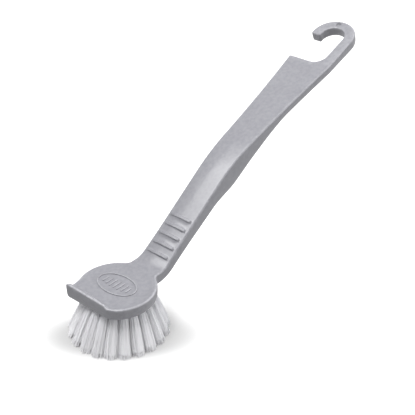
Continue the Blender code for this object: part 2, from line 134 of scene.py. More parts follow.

# Shadow that the camera sees on the floor, where the camera-only glow is faded out in an oval round
# the bristles, so the floor is painted darker there round the real shadow: its place, its squeeze
# in depth, and its fade
SHADOW_MIDDLE = (0.003, 0.007, 0.0)
SHADOW_SQUEEZE = 2.0
SHADOW_RANGE = (0.033, 0.072)

# Studio: each lamp's name, place, width and power setting, then where all of them point
LAMPS = (("key_light", (-0.10, 0.14, 0.92), 0.5, "key"),
         ("hook_light", (0.70, -0.10, 0.75), 0.7, "end"),
         ("right_light", (0.5, -0.75, 0.35), 0.6, "right"),
         ("rim_light", (-0.20, 0.52, 0.80), 0.25, "rim"))
LAMP_AIM = Vector((0.08, 0.0, 0.06))
FLOOR_REACH = 3.0
SENSOR_WIDTH = 36.0
CLIP_START = 0.01


def length(name, description, default):
    """A size in metres that a user may change."""
    return FloatProperty(name=name, description=description, default=default, unit="LENGTH")


def number(name, description, default):
    """A share or factor that a user may change."""
    return FloatProperty(name=name, description=description, default=default)


def power(name, description, default):
    """A lamp's power in watts that a user may change."""
    return FloatProperty(name=name, description=description, default=default, unit="POWER")


def slope(name, description, default):
    """An angle that a user may change."""
    return FloatProperty(name=name, description=description, default=math.radians(default),
                         subtype="ANGLE", unit="ROTATION")


def colour(name, description, default):
    """A colour that a user may change."""
    return FloatVectorProperty(name=name, description=description, default=default, size=4,
                               subtype="COLOR", min=0.0, max=1.0)


class HeadSizes(bpy.types.PropertyGroup):
    """Round plate with its scraper lip."""
    radius: length("Radius", "Radius of the round head", 0.0256)
    depth: length("Thickness", "Thickness of the head", 0.0078)
    edge: length("Edge", "Radius of the moulding's rounded edges", 0.0011)
    top: length("Top height", "Height of the head's rim above the bristle tips", 0.0335)
    dish: length("Dish", "How far the middle lies below the rim", 0.0006)
    rim: length("Rim", "Width of the rim's crest", 0.0012)
    rim_fall: length("Rim fall", "Width of the slope from the rim to the dish", 0.0046)
    dish_end: length("Dish end", "Distance from the middle at which the dish has faded out", 0.0240)
    dish_fade: length("Dish fade", "Length over which the dish fades out", 0.0140)
    lip_reach: length("Lip reach", "Distance from the middle to the scraper's face", 0.0217)
    lip_corner: length("Lip corner", "Distance of the pointed corner from the middle line", 0.0230)
    lip_end: length("Lip end", "Radius that turns the scraper's face into the round head", 0.0140)
    lip_rise: length("Lip rise", "Height of the lip's ridge above the rim", 0.0028)
    lip_width: length("Lip width", "Width of the ridge behind the scraper's face", 0.0052)
    lip_run: length("Lip run", "Length in which the ridge drops at its rounded end", 0.0034)
    lip_low: number("Lip low", "Share of the ridge's height at its rounded end", 0.65)
    flank_lead: length("Flank lead", "How far the round runs on before it turns away", 0.0061)
    flank_turn: slope("Flank start", "Where round the head the flank to the corner starts", 110.0)


class HandleSizes(bpy.types.PropertyGroup):
    """Neck, grip, belly and end plate."""
    neck_start: length("Neck start", "Distance at which the neck starts to rise", 0.0278)
    neck_bend: length("Neck bend", "Radius of the neck's bend", 0.0156)
    lower_slope: slope("Lower slope", "Slope of the grip", 35.3)
    lower_run: length("Lower run", "Straight length of the grip", 0.0634)
    bend: length("Bend", "Radius of the bend over the belly", 0.1300)
    upper_slope: slope("Upper slope", "Slope of the end plate", 20.2)
    upper_run: length("Upper run", "Length of the end plate", 0.0855)
    neck_width: length("Neck half width", "Half the width of the neck", 0.0118)
    neck_fillet: length("Neck fillet", "Radius between the neck and the head", 0.0050)
    waist_width: length("Waist half width", "Half the width of the waist", 0.0109)
    waist_start: length("Waist start", "Distance at which the waist starts", 0.0600)
    waist_end: length("Waist end", "Distance at which the flare starts", 0.0950)
    end_width: length("End half width", "Half the width at the end plate's end", 0.0170)
    end_corner: length("End corner", "Radius of the end plate's free corner", 0.0018)
    neck_depth: length("Neck thickness", "Thickness of the neck", 0.0078)
    grip_depth: length("Grip thickness", "Thickness of the grip before the belly", 0.0112)
    belly_depth: length("Belly thickness", "Thickness at the deepest place", 0.0175)
    belly_start: length("Belly start", "Distance at which the belly starts", 0.0836)
    belly_place: length("Belly place", "Distance of the deepest place", 0.1110)
    plate_depth: length("Plate thickness", "Thickness of the end plate", 0.0064)
    plate_place: length("Plate start", "Distance at which the belly has ended", 0.1750)
    belly_rounding: number("Belly rounding", "Share by which the belly's underside narrows", 0.14)


class GripSizes(bpy.types.PropertyGroup):
    """Crown of the top face and the ribs across it."""
    crown: length("Crown", "Height of the grip's middle over its edges", 0.0013)
    crown_start: length("Crown start", "Distance at which the crown starts", 0.0240)
    crown_full: length("Crown full", "Distance at which the crown is full", 0.0340)
    fade_start: length("Fade start", "Distance at which the crown starts to fade", 0.1000)
    fade_end: length("Fade end", "Distance at which the crown has faded", 0.1500)
    plate_crown: length("Plate crown", "Crown that is left on the end plate", 0.0003)
    crown_power: number("Crown shape", "1 is a roof with straight sides, 2 an arch", 1.45)
    rib_first: length("First rib", "Distance of the rib next to the neck", 0.0390)
    rib_pitch: length("Rib pitch", "Distance from rib to rib", 0.0071)
    rib_width: length("Rib width", "Width of a rib at its foot", 0.0030)
    rib_rise: length("Rib height", "Height of a rib over the crown", 0.0009)
    rib_flank: length("Rib flank", "Width of a rib's rounded flank", 0.0009)
    rib_reach: length("Rib reach", "Distance of a rib's end from the middle line", 0.0090)
    rib_count: IntProperty(name="Ribs", description="Number of ribs", default=5, min=0)


class HookSizes(bpy.types.PropertyGroup):
    """Open hook in the plane of the end plate."""
    depth: length("Thickness", "Thickness of the hook", 0.0076)
    outer: length("Outer radius", "Radius of the hook's outside", 0.0165)
    inner: length("Inner radius", "Radius of the hook's inside", 0.0088)
    reach: length("Reach", "Distance from the end plate's edge to the hook's centre", 0.0289)
    stub: length("Stub", "How far the free end runs back past the hook's centre", 0.0026)
    corner: length("Corner", "Radius of the free end's corners", 0.0014)
    root: length("Root fillet", "Radius between the end plate's edge and the hook's arm", 0.0095)
    gate: length("Gate mark", "Radius of the moulding gate's dimple on the crest", 0.0026)
    gate_depth: length("Gate depth", "Depth of the moulding gate's dimple", 0.0018)
    gate_aside: length("Gate aside", "Distance of the dimple from the middle line", 0.0028)


class PadSizes(bpy.types.PropertyGroup):
    """Plain oval thumb pad on the head."""
    half_length: length("Half length", "Half the pad's length across the head", 0.0150)
    half_width: length("Half width", "Half the pad's width", 0.0097)
    ring: length("Ring", "Width of the raised ring", 0.0009)
    along: length("Along", "Distance of the pad from the middle, towards the hook", 0.0014)
    aside: length("Aside", "Distance of the pad from the middle line", 0.0013)
    rise: length("Rise", "Height of the ring over the dish", 0.00055)
    rib_rise: length("Rib rise", "Height of the ribs over the dish", 0.00045)
    sink: length("Sink", "How deep ring and ribs are set into the dish", 0.0003)
    rib: length("Rib", "Width of a rib", 0.0011)
    # Tops of ring and ribs painted lighter: partly worn plastic, partly a painted highlight that
    # picks out the low relief
    rub_and_highlight: number("Rub", "How rubbed the tops of ring and ribs are", 0.5)
    rib_span: number("Rib span", "Share of the pad's length that the ribs take", 0.70)
    rib_length: number("Rib length", "Length of the ribs as a share of the pad's width", 0.40)
    rib_count: IntProperty(name="Ribs", description="Number of ribs", default=7, min=2)


class TuftSizes(bpy.types.PropertyGroup):
    """Bristle tufts in the head's underside."""
    shift: length("Field shift", "Distance of the holes' middle from the head's middle", 0.0022)
    tip_radius: length("Tip ring", "Radius of the outer ring at the trimmed tips", 0.0291)
    hole: length("Hole radius", "Radius of a tuft's hole", 0.00165)
    hole_depth: length("Hole depth", "Depth of a tuft's hole", 0.0050)
    root: length("Root radius", "Radius of the folded root in the hole", 0.00135)
    stand: length("Root stand", "How far the root stands out of its hole", 0.0004)
    spread: length("Spread", "Radius of one tuft at its tips", 0.0047)
    filament: length("Filament radius", "Radius of one bristle", 0.00016)
    core: number("Core", "Share of a tuft's width that its packed middle takes", 0.76)
    trim: length("Trim", "How uneven the trimmed ends are", 0.0005)
    wave: length("Wave", "How far a bristle strays from its line", 0.0004)
    flare: number("Flare", "1 is a straight cone, less widens a tuft near its root", 0.45)
    count: IntProperty(name="Bristles", description="Bristles in one tuft", default=130, min=3)


class Finishes(bpy.types.PropertyGroup):
    """Colours of the brush and of the floor."""
    plastic: colour("Plastic", "Colour of the moulding", (0.290, 0.290, 0.314, 1.0))
    plastic_dark: colour("Plastic, dark", "Darker flow of the moulding", (0.250, 0.250, 0.274, 1.0))
    # Pale colour of the edges: partly worn plastic, partly a painted highlight
    plastic_wear_highlight: colour("Plastic, worn", "Rubbed edges of the moulding", (0.50, 0.50, 0.53, 1.0))
    nylon: colour("Nylon", "Colour of the bristles", (0.96, 0.96, 0.98, 1.0))
    nylon_dark: colour("Nylon, dark", "Colour of the bristles near their roots",
                       (0.93, 0.93, 0.96, 1.0))
    floor: colour("Floor", "Colour of the floor", (0.53, 0.53, 0.53, 1.0))


class StageSettings(bpy.types.PropertyGroup):
    """Camera and lights."""
    turn: slope("Camera turn", "Turn of the camera round the brush", -49.63)
    tilt: slope("Camera tilt", "Height angle of the camera", 32.49)
    focal: number("Focal length", "In widths of the picture", 2.470)
    distance: length("Distance", "Distance from the head along the line of sight", 0.6435)
    across: number("Head across", "Head's place in the picture, 0 is left", 0.2815)
    down: number("Head down", "Head's place in the picture, 0 is the top", 0.6885)
    key: power("Key light", "Power of the lamp overhead", 8.5)
    end: power("Hook light", "Power of the lamp over the hook", 3.7)
    right: power("Right light", "Power of the lamp at the right", 2.9)
    rim: power("Rim light", "Power of the lamp that draws the lip", 1.0)
    sky: number("Sky", "Strength of the light from all round", 0.26)
    glow: number("Glow", "How much paler the camera sees the floor", 0.70)


def ease(value, low, high):
    """0 below low, 1 above high, and a smooth rise between them."""
    share = min(max((value - low) / (high - low), 0.0), 1.0)
    return share * share * (3.0 - 2.0 * share)


def spread(start, end, pitch):
    """Even places from start to end, about a pitch apart."""
    steps = max(1, round((end - start) / pitch))
    return [start + (end - start) * step / steps for step in range(steps + 1)]


class Moulding:
    """The body's shape: widths, thicknesses, relief and the line that it is bent along."""

    def __init__(self, scene):
        self.head, self.handle = scene.brush_head, scene.brush_handle
        self.grip, self.hook = scene.brush_grip, scene.brush_hook
        handle = self.handle
        self.neck_arc = handle.neck_bend * handle.lower_slope
        self.neck_end = handle.neck_start + self.neck_arc
        self.bend_start = self.neck_end + handle.lower_run
        self.bend_arc = handle.bend * (handle.lower_slope - handle.upper_slope)
        self.end = self.bend_start + self.bend_arc + handle.upper_run
        self.hook_centre = self.end + self.hook.reach
        self.edge = self.head.edge
        self.lip_place = self.head.lip_end - self.head.lip_reach
        self.lip_side = -math.sqrt((self.head.radius - self.head.lip_end) ** 2
                                   - self.lip_place ** 2)
        self.wall = self.head.depth - self.edge
        self.ribs = [self.grip.rib_first + index * self.grip.rib_pitch
                     for index in range(self.grip.rib_count)]

    def half_width(self, s):
        """Half the handle's width: a neck that narrows to the waist, then an even flare."""
        handle = self.handle
        if s < handle.waist_start:
            share = (handle.waist_start - s) / (handle.waist_start - handle.neck_start)
            return handle.waist_width + (handle.neck_width - handle.waist_width) * share * share
        if s < handle.waist_end:
            return handle.waist_width
        share = (s - handle.waist_end) / (self.end - handle.waist_end)
        return handle.waist_width + (handle.end_width - handle.waist_width) * share * share

    def thickness(self, s):
        """The depth of the body below its top line."""
        handle = self.handle
        depth = self.head.depth
        depth += (handle.neck_depth - depth) * ease(s, handle.neck_start, self.neck_end)
        share = min(max((s - self.neck_end) / (handle.belly_start - self.neck_end), 0.0), 1.0)
        depth += (handle.grip_depth - handle.neck_depth) * share
        bulge = handle.belly_depth - handle.grip_depth
        depth += bulge * ease(s, handle.belly_start, handle.belly_place)
        fall = handle.plate_depth - handle.belly_depth
        depth += fall * ease(s, handle.belly_place, handle.plate_place)
        return depth + (self.hook.depth - handle.plate_depth) * ease(s, self.end, self.hook_centre)

    def spine(self, s):
        """The top line's x, its height over the head and its slope at the distance s."""
        handle = self.handle
        x, z, angle = min(s, handle.neck_start), 0.0, 0.0
        left = s - handle.neck_start
        for run, radius in ((self.neck_arc, handle.neck_bend), (handle.lower_run, None),
                            (self.bend_arc, -handle.bend), (math.inf, None)):
            if left <= 0.0:
                break
            step = min(left, run)
            if radius is None:
                x += step * math.cos(angle)
                z += step * math.sin(angle)
            else:
                turned = angle + step / radius
                x += radius * (math.sin(turned) - math.sin(angle))
                z += radius * (math.cos(angle) - math.cos(turned))
                angle = turned
            left -= step
        return x, z, angle

    def head_relief(self, s, y):
        """Dish, rim and lip of the head's top face, from the plane of the rim."""
        head = self.head
        inside = head.radius - math.hypot(s, y)
        dish = ease(inside, head.rim, head.rim + head.rim_fall)
        dish *= ease(s + head.lip_reach, 0.0, head.lip_width)
        dish *= 1.0 - ease(s, head.dish_end - head.dish_fade, head.dish_end)
        ridge = 1.0 - ease(s + head.lip_reach, self.edge, head.lip_width)
        ridge *= head.lip_low + (1.0 - head.lip_low) * ease(y, self.lip_side, 0.0)
        ridge *= ease(y, self.lip_side - head.lip_run, self.lip_side)
        return head.lip_rise * ridge - head.dish * dish

    def grip_relief(self, s, y):
        """Crown and ribs of the handle's top face."""
        grip = self.grip
        across = min(abs(y) / self.half_width(min(s, self.end)), 1.0)
        height = grip.crown * ease(s, grip.crown_start, grip.crown_full) ** 2
        fade = ease(s, grip.fade_start, grip.fade_end)
        height += (grip.plate_crown - height) * fade
        crown = height * (1.0 - across ** grip.crown_power)
        near = min((abs(s - rib) for rib in self.ribs), default=math.inf)
        round_end = grip.rib_width / 2.0
        past = max(abs(y) - (grip.rib_reach - round_end), 0.0)
        away = math.hypot(near, past)
        return crown + grip.rib_rise * (1.0 - ease(away, round_end - grip.rib_flank, round_end))

    def gate_relief(self, s, y):
        """The small dimple that the moulding gate leaves near the hook's crest."""
        hook = self.hook
        middle = self.hook_centre + (hook.inner + hook.outer) / 2.0
        away = math.hypot(s - middle, y - hook.gate_aside)
        return -hook.gate_depth * (1.0 - ease(away, hook.gate * GATE_FLOOR_SHARE, hook.gate))

    def place(self, s, y, depth):
        """Where a point of the flat blank lies once the blank is bent and its relief is raised."""
        share = min(max(depth - self.edge, 0.0) / self.wall, 1.0)
        full = self.thickness(s)
        depth = min(depth, self.edge) + share * (full - self.edge)
        if s < self.grip.crown_start:
            relief = self.head_relief(s, y)
        elif s < self.end:
            relief = self.grip_relief(s, y)
        else:
            relief = self.gate_relief(s, y)
        belly = max(full - self.head.depth, 0.0) / (self.handle.belly_depth - self.head.depth)
        y *= 1.0 - self.handle.belly_rounding * belly * share ** 3
        x, z, angle = self.spine(s)
        lift = relief * (1.0 - share) - depth
        return Vector((x - lift * math.sin(angle), y, self.head.top + z + lift * math.cos(angle)))


class Pen:
    """Draws an outline on the flat blank, each stretch by an operator from where the last ended."""

    def __init__(self, mesh_edit, start):
        self.mesh_edit = mesh_edit
        self.tip = mesh_edit.verts.new((start[0], start[1], 0.0))

    def line(self, x, y):
        """A straight stretch to a point."""
        drawn = bmesh.ops.extrude_vert_indiv(self.mesh_edit, verts=[self.tip])
        self.tip = drawn["verts"][0]
        self.tip.co = (x, y, 0.0)

    def turn(self, centre, angle, name):
        """A named arc round a centre, anticlockwise for a positive angle."""
        drawn = bmesh.ops.spin(self.mesh_edit, geom=[self.tip], cent=(centre[0], centre[1], 0.0),
                               axis=UP, dvec=(0.0, 0.0, 0.0), angle=angle,
                               steps=ARC_STEPS[name], use_duplicate=False)
        self.tip = next(v for v in drawn["geom_last"] if isinstance(v, bmesh.types.BMVert))

    def close(self):
        """The face inside the outline."""
        bmesh.ops.remove_doubles(self.mesh_edit, verts=self.mesh_edit.verts, dist=MERGE_DISTANCE)
        made = bmesh.ops.contextual_create(self.mesh_edit, geom=self.mesh_edit.edges[:])
        face = made["faces"][0]
        face.normal_update()
        if face.normal.z < 0.0:
            face.normal_flip()
        return face


def draw_outline(mesh_edit, shape):
    """The outline of the whole brush, anticlockwise from the lip's pointed corner."""
    head, handle, hook = shape.head, shape.handle, shape.hook
    quarter = math.pi / 2.0
    end_x, end_y = shape.lip_place, shape.lip_side
    lip_turn = math.atan2(end_y, end_x) + 2.0 * math.pi
    fillet_y = handle.neck_width + handle.neck_fillet
    fillet_x = math.sqrt((head.radius + handle.neck_fillet) ** 2 - fillet_y ** 2)
    meet = math.atan2(fillet_y, fillet_x)

    pen = Pen(mesh_edit, (-head.lip_reach, head.lip_corner))
    for y in spread(head.lip_corner, end_y, LIP_PITCH)[1:]:
        pen.line(-head.lip_reach, y)
    pen.turn((end_x, end_y), lip_turn - math.pi, "lip")
    pen.turn((0.0, 0.0), 2.0 * math.pi - meet - lip_turn, "rim")
    pen.turn((fillet_x, -fillet_y), meet - quarter, "neck")
    side = spread(fillet_x, shape.end, OUTLINE_PITCH)[1:]
    for s in side:
        pen.line(s, -shape.half_width(s))
    for s in spread(shape.end, shape.hook_centre, OUTLINE_PITCH)[1:]:
        pen.line(s, -hook.outer - (handle.end_width - hook.outer)
                 * (1.0 - ease(s, shape.end, shape.hook_centre)))
    pen.turn((shape.hook_centre, 0.0), math.pi, "crest")
    free_end = shape.hook_centre - hook.stub
    pen.line(free_end + hook.corner, hook.outer)
    pen.turn((free_end + hook.corner, hook.outer - hook.corner), quarter, "corner")
    pen.line(free_end, hook.inner + hook.corner)
    pen.turn((free_end + hook.corner, hook.inner + hook.corner), quarter, "corner")
    pen.line(shape.hook_centre, hook.inner)
    pen.turn((shape.hook_centre, 0.0), -math.pi, "eye")
    root_s = shape.end + hook.root
    for s in spread(shape.hook_centre, root_s, OUTLINE_PITCH)[1:]:
        pen.line(s, -hook.inner)
    pen.turn((root_s, hook.root - hook.inner), -quarter, "root")
    corner_s, corner_y = shape.end - handle.end_corner, handle.end_width - handle.end_corner
    for y in spread(hook.root - hook.inner, corner_y, OUTLINE_PITCH)[1:]:
        pen.line(shape.end, y)
    pen.turn((corner_s, corner_y), quarter, "corner")
    for s in reversed(side[:-1]):
        pen.line(s, shape.half_width(s))
    pen.line(fillet_x, handle.neck_width)
    pen.turn((fillet_x, fillet_y), meet - quarter, "neck")
    pen.turn((0.0, 0.0), head.flank_turn - meet, "shoulder")

    cosine, sine = math.cos(head.flank_turn), math.sin(head.flank_turn)
    start = Vector((head.radius * cosine, head.radius * sine))
    lead = start + head.flank_lead * Vector((-sine, cosine))
    corner = Vector((-head.lip_reach, head.lip_corner))
    for t in spread(0.0, 1.0, 1.0 / FLANK_STEPS)[1:]:
        point = start.lerp(lead, t).lerp(lead.lerp(corner, t), t)
        pen.line(point.x, point.y)
    return pen.close()


def make_blank(shape):
    """The flat blank with its rounded edges and drafted wall, its top face marked as a patch."""
    blank = bmesh.new()
    top = draw_outline(blank, shape)
    bmesh.ops.translate(blank, verts=blank.verts, vec=(0.0, 0.0, -shape.edge))
    pulled = bmesh.ops.extrude_face_region(blank, geom=[top], use_keep_orig=True)
    under = next(item for item in pulled["geom"] if isinstance(item, bmesh.types.BMFace))
    bmesh.ops.translate(blank, verts=under.verts, vec=(0.0, 0.0, -shape.wall * WALL_ROWS[0][0]))
    bmesh.ops.recalc_face_normals(blank, faces=blank.faces)
    for (above, outer), (below, inner) in zip(WALL_ROWS, WALL_ROWS[1:]):
        bmesh.ops.inset_region(blank, faces=[under], use_even_offset=True, use_boundary=True,
                               thickness=(inner - outer) * MILLIMETRE,
                               depth=shape.wall * (below - above))
    for step in range(EDGE_STEPS):
        low, high = (math.pi / 2.0 * (step + add) / EDGE_STEPS for add in (0, 1))
        inset = shape.edge * (math.cos(low) - math.cos(high))
        rise = shape.edge * (math.sin(high) - math.sin(low))
        bmesh.ops.inset_region(blank, faces=[top], thickness=inset, depth=rise,
                               use_even_offset=True, use_boundary=True)
    top.material_index = TOP_PATCH
    return blank


def cut(blank, axis, place, top_only=False, low=-math.inf, high=math.inf):
    """Cut the blank on a plane square to an axis, so that it can bend or rise there."""
    faces = []
    for face in blank.faces:
        if top_only and face.material_index != TOP_PATCH:
            continue
        spots = [vert.co[0] for vert in face.verts]
        if max(spots) >= low and min(spots) <= high:
            faces.append(face)
    edges = {edge for face in faces for edge in face.edges}
    verts = {vert for face in faces for vert in face.verts}
    middle, normal = Vector(), Vector()
    middle[axis], normal[axis] = place, 1.0
    bmesh.ops.bisect_plane(blank, geom=faces + list(edges) + list(verts), dist=CUT_SNAP,
                           plane_co=middle, plane_no=normal)


def cut_row(blank, axis, start, end, pitch, **limits):
    """A row of cuts from start to end, about a pitch apart."""
    for place in spread(start, end, pitch):
        cut(blank, axis, place, **limits)


def cut_blank(blank, shape):
    """Cuts for the bends and the belly all through, and finer ones for the top's relief."""
    head, handle, grip, hook = shape.head, shape.handle, shape.grip, shape.hook
    cut_row(blank, ALONG, grip.crown_start, shape.neck_end + 2.0 * MARGIN, PITCH["neck"])
    cut_row(blank, ALONG, shape.neck_end + 4.0 * MARGIN, handle.plate_place + 4.0 * MARGIN,
            PITCH["grip"])
    cut_row(blank, ALONG, handle.plate_place + 10.0 * MARGIN, shape.end - 4.0 * MARGIN,
            PITCH["plate"])
    cut_row(blank, ALONG, shape.end, shape.hook_centre + hook.outer - MARGIN, PITCH["hook"],
            low=shape.end - 2.0 * MARGIN)
    cut_row(blank, ACROSS, -hook.inner, hook.inner, hook.inner / 2.0, low=shape.end + MARGIN / 2.0)

    reach = grip.rib_width / 2.0
    for rib in shape.ribs:
        cut_row(blank, ALONG, rib - reach, rib + reach, PITCH["rib"], top_only=True,
                low=rib - 2.0 * reach, high=rib + 2.0 * reach)
    on_head = {"top_only": True, "high": grip.crown_start}
    crest = shape.edge - head.lip_reach
    cut_row(blank, ALONG, crest + PITCH["head"] / 2.0, crest + head.lip_width, PITCH["ridge"],
            **on_head)
    cut_row(blank, ALONG, crest + head.lip_width + PITCH["head"], grip.crown_start - PITCH["head"],
            PITCH["head"], **on_head)
    side = head.radius - 1.5 * MARGIN
    cut_row(blank, ACROSS, -side, side, PITCH["head"], **on_head)
    side = handle.end_width - MARGIN
    cut_row(blank, ACROSS, -side, side, PITCH["crown"], top_only=True, low=grip.crown_start,
            high=shape.end)

    crest = shape.hook_centre + (hook.inner + hook.outer) / 2.0
    near_gate = {"top_only": True, "low": crest - GATE_MARGIN, "high": crest + GATE_MARGIN}
    for offset in spread(-hook.gate, hook.gate, PITCH["gate"]):
        cut(blank, ALONG, crest + offset, **near_gate)
        cut(blank, ACROSS, hook.gate_aside + offset, **near_gate)


def tuft_places(scene):
    """Each tuft's node, the middle of its hole's mouth and the middle of its trimmed end."""
    head, tufts = scene.brush_head, scene.brush_tufts
    places = []
    for ring, count, share in RINGS:
        for index in range(count):
            angle = 2.0 * math.pi * (index + 0.5) / count
            turn = Vector((math.cos(angle), math.sin(angle), 0.0))
            mouth = Vector((tufts.shift, 0.0, head.top - head.depth)) + head.radius * share * turn
            tip = share / RINGS[0][2] * tufts.tip_radius * turn
            node = "tuft_" + ring if count == 1 else "tuft_%s_%02d" % (ring, index + 1)
            places.append((node, mouth, tip))
    return places


def finish_piece(name, mesh_edit, material, sharp=BODY_SHARP):
    """Turn a finished bmesh into a piece at the origin."""
    mesh = bpy.data.meshes.new(name)
    mesh_edit.to_mesh(mesh)
    mesh_edit.free()
    mesh.materials.append(material)
    for polygon in mesh.polygons:
        polygon.material_index = 0
    mesh.shade_smooth()
    mesh.set_sharp_from_angle(angle=sharp)
    piece = bpy.data.objects.new(name, mesh)
    bpy.context.scene.collection.objects.link(piece)
    return piece


def add_rod(mesh_edit, middle, down, radius, depth, sides):
    """A closed round bar that points down a direction."""
    turn = UP.rotation_difference(down).to_matrix().to_4x4()
    bmesh.ops.create_cone(mesh_edit, cap_ends=True, segments=sides, radius1=radius, radius2=radius,
                          depth=depth, matrix=Matrix.Translation(middle) @ turn)


class Finish:
    """A node material round a Principled shader, and short words for the nodes used here."""

    def __init__(self, name):
        self.material = bpy.data.materials.new(name)
        self.material.use_nodes = True
        self.tree = self.material.node_tree
        self.shader = self.tree.nodes["Principled BSDF"]

    def node(self, kind, **settings):
        """A new node: each setting is an input of that name, or else a property."""
        made = self.tree.nodes.new(kind)
        for key, value in settings.items():
            if key in made.inputs:
                made.inputs[key].default_value = value
            else:
                setattr(made, key, value)
        return made

    def feed(self, target, source):
        """Feed an input from an output, or set it to a plain value."""
        if isinstance(source, bpy.types.NodeSocket):
            self.tree.links.new(source, target)
        else:
            target.default_value = source

    def shade(self, inputs):
        """Feed the shader's inputs by their names."""
        for name, source in inputs.items():
            self.feed(self.shader.inputs[name], source)

    def place(self):
        """The piece's own coordinates."""
        return self.node("ShaderNodeTexCoord").outputs["Object"]

    def attribute(self, name):
        """A value that the mesh carries."""
        return self.node("ShaderNodeAttribute", attribute_name=name).outputs["Fac"]

    def noise(self, scale, detail, roughness, distortion=0.0):
        """Noise in the piece's own coordinates."""
        made = self.node("ShaderNodeTexNoise", Scale=scale, Detail=detail, Roughness=roughness,
                         Distortion=distortion)
        self.feed(made.inputs["Vector"], self.place())
        return made.outputs["Fac"]

    def times(self, source, factor, add=0.0):
        """The source times a factor, plus a second value."""
        made = self.node("ShaderNodeMath", operation="MULTIPLY_ADD")
        for target, value in zip(made.inputs, (source, factor, add)):
            self.feed(target, value)
        return made.outputs["Value"]

    def ramp(self, source, start=0.0, end=1.0, low=0.0, high=1.0, kind="LINEAR"):
        """The source stretched from one range to another, and held at both ends."""
        made = self.node("ShaderNodeMapRange", interpolation_type=kind,
                         **{"From Min": start, "From Max": end, "To Min": low, "To Max": high})
        self.feed(made.inputs["Value"], source)
        return made.outputs["Result"]

    def mix(self, first, second, factor):
        """A colour between two others."""
        made = self.node("ShaderNodeMix", data_type="RGBA")
        for name, value in (("A", first), ("B", second), ("Factor", factor)):
            self.feed(made.inputs[name], value)
        return made.outputs["Result"]


def plastic_material(finishes):
    """Grey moulded plastic: a fine eroded grain, soft flow marks, and edges painted lighter, partly
    as worn plastic and partly as a painted highlight.
    """
    finish = Finish("moulded_grey_plastic")
    flow = finish.noise(scale=70.0, detail=5.0, roughness=0.6, distortion=0.6)
    grain = finish.noise(scale=1500.0, detail=3.0, roughness=0.6)
    speck = finish.noise(scale=420.0, detail=2.0, roughness=0.5)
    mottled = finish.times(speck, 0.6, add=finish.times(flow, 0.4))
    flowed = finish.ramp(mottled, start=0.38, end=0.62)
    tone = finish.mix(finishes.plastic_dark, finishes.plastic, flowed)
    # Edges and the lip's crest painted lighter: partly worn plastic, partly a painted highlight
    rubbed_and_highlit = finish.times(finish.attribute("edge_wear"), speck)
    bump = finish.node("ShaderNodeBump", Strength=0.25, Distance=0.00006)
    finish.feed(bump.inputs["Height"], grain)
    finish.shade({"Base Color": finish.mix(tone, finishes.plastic_wear_highlight, rubbed_and_highlit),
                  "Roughness": finish.ramp(speck, low=0.26, high=0.40),
                  "Normal": bump.outputs["Normal"], "IOR": 1.49})
    return finish.material


def nylon_material(finishes):
    """Pale nylon: each bristle has its own tone, and it greys towards its root."""
    finish = Finish("white_nylon_bristle")
    haze = finish.noise(scale=260.0, detail=3.0, roughness=0.6)
    root_to_tip = finish.ramp(finish.attribute("along"), start=0.05, end=0.50)
    base = finish.mix(finishes.nylon_dark, finishes.nylon, root_to_tip)
    own_tone = finish.times(haze, 0.5, add=finish.attribute("tone"))
    tint = finish.node("ShaderNodeVectorMath", operation="SCALE")
    finish.feed(tint.inputs["Vector"], base)
    finish.feed(tint.inputs["Scale"], finish.ramp(own_tone, low=0.96, high=1.02))
    finish.shade({"Base Color": tint.outputs["Vector"],
                  "Roughness": finish.ramp(haze, low=0.38, high=0.60), "IOR": 1.53})
    return finish.material


def floor_material(finishes, stage):
    """Pale floor that the camera sees as white, save an oval round the bristles where the glow
    fades out: a painted shadow round the real one, which is kept.
    """
    finish = Finish("pale_floor")
    centred = finish.node("ShaderNodeVectorMath", operation="ADD")
    finish.feed(centred.inputs[0], finish.place())
    finish.feed(centred.inputs[1], SHADOW_MIDDLE)
    oval = finish.node("ShaderNodeCombineXYZ")
    for axis, angle, squeeze in (("X", stage.turn, 1.0),
                                 ("Y", stage.turn + math.pi / 2.0, SHADOW_SQUEEZE)):
        along = finish.node("ShaderNodeVectorMath", operation="DOT_PRODUCT")
        finish.feed(along.inputs[0], centred.outputs["Vector"])
        finish.feed(along.inputs[1], (squeeze * math.cos(angle), squeeze * math.sin(angle), 0.0))
        finish.feed(oval.inputs[axis], along.outputs["Value"])
    away = finish.node("ShaderNodeVectorMath", operation="LENGTH")
    finish.feed(away.inputs[0], oval.outputs["Vector"])
    # The glow fades out inside the oval, a painted shadow patch round the bristles
    fade = finish.ramp(away.outputs["Value"], *SHADOW_RANGE, high=stage.glow, kind="SMOOTHSTEP")
    seen = finish.node("ShaderNodeLightPath").outputs["Is Camera Ray"]
    finish.shade({"Base Color": finishes.floor, "Roughness": 0.85, "Specular IOR Level": 0.1,
                  "Emission Color": (1.0, 1.0, 1.0, 1.0),
                  "Emission Strength": finish.times(seen, fade)})
    return finish.material


